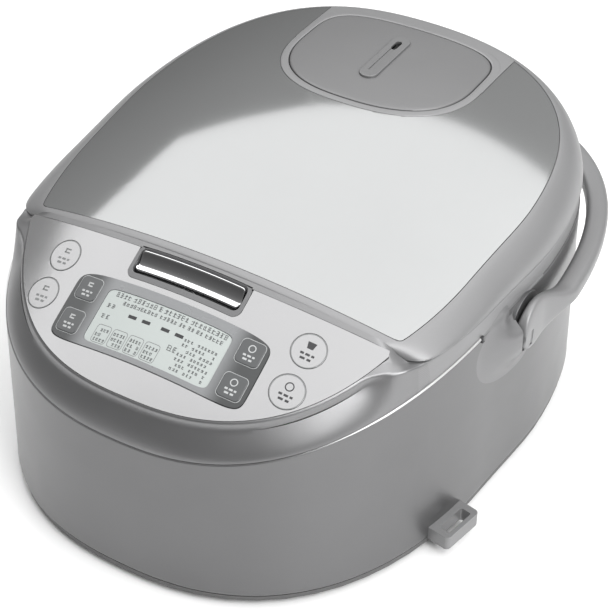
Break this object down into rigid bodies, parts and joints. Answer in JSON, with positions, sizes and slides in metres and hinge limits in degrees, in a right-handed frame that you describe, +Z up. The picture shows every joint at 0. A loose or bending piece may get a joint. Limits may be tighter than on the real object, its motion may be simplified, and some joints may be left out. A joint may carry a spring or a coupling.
{
  "type": "rice cooker",
  "caption": "Countertop rice cooker with a sloped control panel, hinged lid, lift-off steam cap, cooking pot on a heating plate and a folding bail handle.",
  "frame": {"origin": "centre of the whole bounding box in plan, on the floor under the feet", "axes": "+X towards the cooker's right side (seen from behind its panel, the user's right), +Y towards the back where the hinge is, +Z up"},
  "size_m": [0.2918, 0.3571, 0.1672],
  "materials": {
    "silver_casing": "satin silver",
    "grey_plastic": "fine satin",
    "cap_plastic": "satin",
    "base_plastic": "satin",
    "fascia_film": "silver film",
    "bezel_grey": "graded grey film",
    "display": "clear over a pale display",
    "white_plastic": "satin",
    "lid_metal": "satin sheet",
    "bright_metal": "polished",
    "dark_plastic": "satin",
    "board_green": "solder mask",
    "rubber_dark": "matt",
    "silicone": "matt",
    "zinc_steel": "plated",
    "cast_aluminium": "as cast",
    "pot_coating": "non-stick coating",
    "heater_wrap": "woven tape",
    "insulation": "fibre felt",
    "ceramic": "ceramic",
    "wire_red": "insulated wire"
  },
  "bodies": {
    "main": {"outer_casing": "silver_casing", "base_plate": "base_plastic", "rubber_feet": "rubber_dark", "base_screws": "zinc_steel", "upper_frame": "grey_plastic", "fascia_panel": "fascia_film", "lcd_bezel": "bezel_grey", "lcd_window": "display", "lcd_module": "white_plastic", "control_board": "board_green", "tact_switches": "dark_plastic", "power_board": "board_green", "power_components": "dark_plastic", "inner_container": "zinc_steel", "heating_plate": "cast_aluminium", "heater_element": "cast_aluminium", "heater_posts": "ceramic", "side_heater": "heater_wrap", "insulation_wrap": "insulation", "thermal_fuse": "ceramic", "power_inlet": "dark_plastic", "inlet_pins": "zinc_steel", "wiring": "wire_red", "hinge_bracket": "zinc_steel", "hinge_pin": "zinc_steel", "hinge_spring": "zinc_steel", "hinge_cover": "grey_plastic", "button_pocket": "dark_plastic", "handle_pivots": "zinc_steel", "spoon_bracket": "grey_plastic", "sensor_guide": "zinc_steel", "latch_bracket": "zinc_steel"},
    "lid": {"lid_cover": "grey_plastic", "lid_panel": "lid_metal", "lid_liner": "dark_plastic", "lid_barrel": "grey_plastic", "lid_keeper": "zinc_steel", "inner_lid": "cast_aluminium", "lid_gasket": "silicone", "lid_sensor": "cast_aluminium", "lid_screws": "zinc_steel", "steam_socket": "grey_plastic"},
    "steam": {"steam_cap": "cap_plastic", "steam_cup": "white_plastic", "steam_gasket": "silicone"},
    "handle": {"handle_bail": "grey_plastic"},
    "button": {"release_button": "bright_metal", "button_spring": "zinc_steel"},
    "latch": {"latch_hook": "zinc_steel"},
    "sensor": {"sensor_cap": "cast_aluminium", "sensor_spring": "zinc_steel"},
    "pot": {"inner_pot": "pot_coating"},
    "round_key_1": {"key_round_1": "fascia_film"},
    "round_key_2": {"key_round_2": "fascia_film"},
    "round_key_3": {"key_round_3": "fascia_film"},
    "round_key_4": {"key_round_4": "fascia_film"},
    "square_key_1": {"key_square_1": "bezel_grey"},
    "square_key_2": {"key_square_2": "bezel_grey"},
    "square_key_3": {"key_square_3": "bezel_grey"},
    "square_key_4": {"key_square_4": "bezel_grey"}
  },
  "joints": [
    {"name": "lid_hinge", "type": "hinge", "parent": "main", "child": "lid", "pos_m": [0, 0.13214, 0.124], "axis": [-1, 0, 0], "range_deg": [0, 90]},
    {"name": "handle_swing", "type": "hinge", "parent": "main", "child": "handle", "pos_m": [0, -0.00336, 0.098], "axis": [-1, 0, 0], "range_deg": [-90, 0]},
    {"name": "steam_cap_lift", "type": "slide", "parent": "lid", "child": "steam", "axis": [0, 0, 1], "range_m": [0, 0.02]},
    {"name": "release_button_press", "type": "slide", "parent": "main", "child": "button", "axis": [0, 0, -1], "range_m": [0, 0.003], "stiffness_N_per_m": 900, "springref_m": -0.002, "deforming": ["button_spring"]},
    {"name": "latch_turn", "type": "hinge", "parent": "main", "child": "latch", "pos_m": [0, -0.09336, 0.116], "axis": [1, 0, 0], "range_deg": [0, 12.5]},
    {"name": "round_key_1_press", "type": "slide", "parent": "main", "child": "round_key_1", "axis": [0.1687, 0.4737, -0.8644], "range_m": [0, 0.0006], "stiffness_N_per_m": 400, "springref_m": -0.0003},
    {"name": "round_key_2_press", "type": "slide", "parent": "main", "child": "round_key_2", "axis": [-0.1687, 0.4737, -0.8644], "range_m": [0, 0.0006], "stiffness_N_per_m": 400, "springref_m": -0.0003},
    {"name": "round_key_3_press", "type": "slide", "parent": "main", "child": "round_key_3", "axis": [0.1687, 0.4737, -0.8644], "range_m": [0, 0.0006], "stiffness_N_per_m": 400, "springref_m": -0.0003},
    {"name": "round_key_4_press", "type": "slide", "parent": "main", "child": "round_key_4", "axis": [-0.1687, 0.4737, -0.8644], "range_m": [0, 0.0006], "stiffness_N_per_m": 400, "springref_m": -0.0003},
    {"name": "square_key_1_press", "type": "slide", "parent": "main", "child": "square_key_1", "axis": [0.1122, 0.4775, -0.8714], "range_m": [0, 0.0006], "stiffness_N_per_m": 400, "springref_m": -0.0003},
    {"name": "square_key_2_press", "type": "slide", "parent": "main", "child": "square_key_2", "axis": [-0.1122, 0.4775, -0.8714], "range_m": [0, 0.0006], "stiffness_N_per_m": 400, "springref_m": -0.0003},
    {"name": "square_key_3_press", "type": "slide", "parent": "main", "child": "square_key_3", "axis": [0.1122, 0.4775, -0.8714], "range_m": [0, 0.0006], "stiffness_N_per_m": 400, "springref_m": -0.0003},
    {"name": "square_key_4_press", "type": "slide", "parent": "main", "child": "square_key_4", "axis": [-0.1122, 0.4775, -0.8714], "range_m": [0, 0.0006], "stiffness_N_per_m": 400, "springref_m": -0.0003},
    {"name": "sensor_plunge", "type": "slide", "parent": "main", "child": "sensor", "axis": [0, 0, 1], "range_m": [-0.003, 0], "stiffness_N_per_m": 500, "springref_m": 0.003, "deforming": ["sensor_spring"]},
    {"name": "pot_turn", "type": "hinge", "parent": "main", "child": "pot", "pos_m": [0, 0.01264, 0.06], "axis": [0, 0, 1], "continuous": true}
  ],
  "couplings": [
    {"joint": "latch_turn", "follows": "release_button_press", "rad_per_m": 70}
  ]
}
